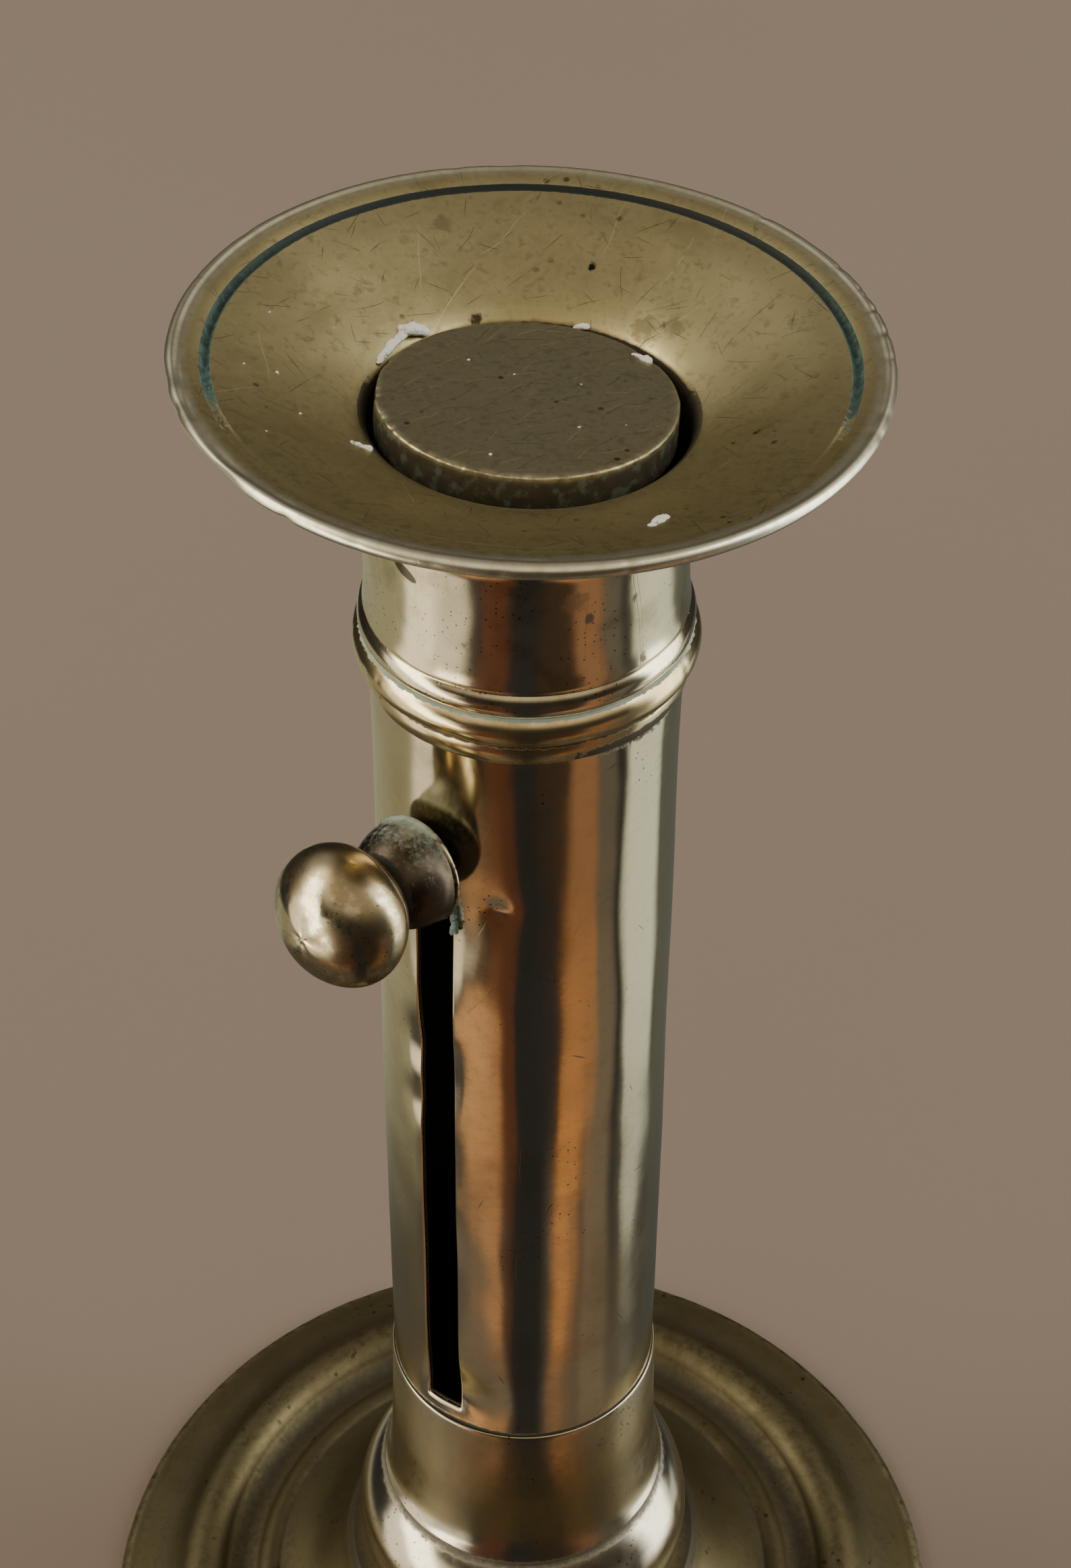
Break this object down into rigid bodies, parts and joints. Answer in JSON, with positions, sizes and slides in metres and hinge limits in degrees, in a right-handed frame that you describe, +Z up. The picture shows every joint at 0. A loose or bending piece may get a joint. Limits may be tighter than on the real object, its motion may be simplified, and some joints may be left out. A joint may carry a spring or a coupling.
{
  "type": "side-ejector candlestick",
  "caption": "Brass candlestick with a round dished base, a slotted tubular stem and a flared drip pan; a side knob slides up the slot to raise a candle plate.",
  "frame": {"origin": "centre of the base's underside, on the surface that it stands on", "axes": "+Z up the stem; the knob and the slot face -Y"},
  "size_m": [0.0832, 0.0832, 0.1527],
  "materials": {
    "pan_brass": "satin, toned olive, verdigris in the groove",
    "polished_brass": "hand polished, worn, slightly pitted",
    "base_brass": "satin, toned",
    "disc_brass": "brown satin with fine scratches",
    "dark_brass": "darkened, brown",
    "knob_brass": "polished by handling, pitted",
    "inner_brass": "dull",
    "iron": "dark wrought iron, dull",
    "spring_steel": "dull spring steel"
  },
  "bodies": {
    "candlestick": {"drip_pan": "pan_brass", "neck_ring": "polished_brass", "stem_tube": "polished_brass", "foot_collar": "polished_brass", "base_dish": "base_brass", "stem_plug": "inner_brass", "base_washer": "iron", "base_nut": "iron"},
    "ejector": {"ejector_disc": "disc_brass", "ejector_strap": "iron", "friction_spring": "spring_steel", "spring_rivets": "iron", "knob_stud": "iron", "knob_collar": "dark_brass", "knob_ball": "knob_brass"}
  },
  "joints": [
    {"name": "ejector_slide", "type": "slide", "parent": "candlestick", "child": "ejector", "axis": [0, 0, 1], "range_m": [-0.066, 0]}
  ]
}
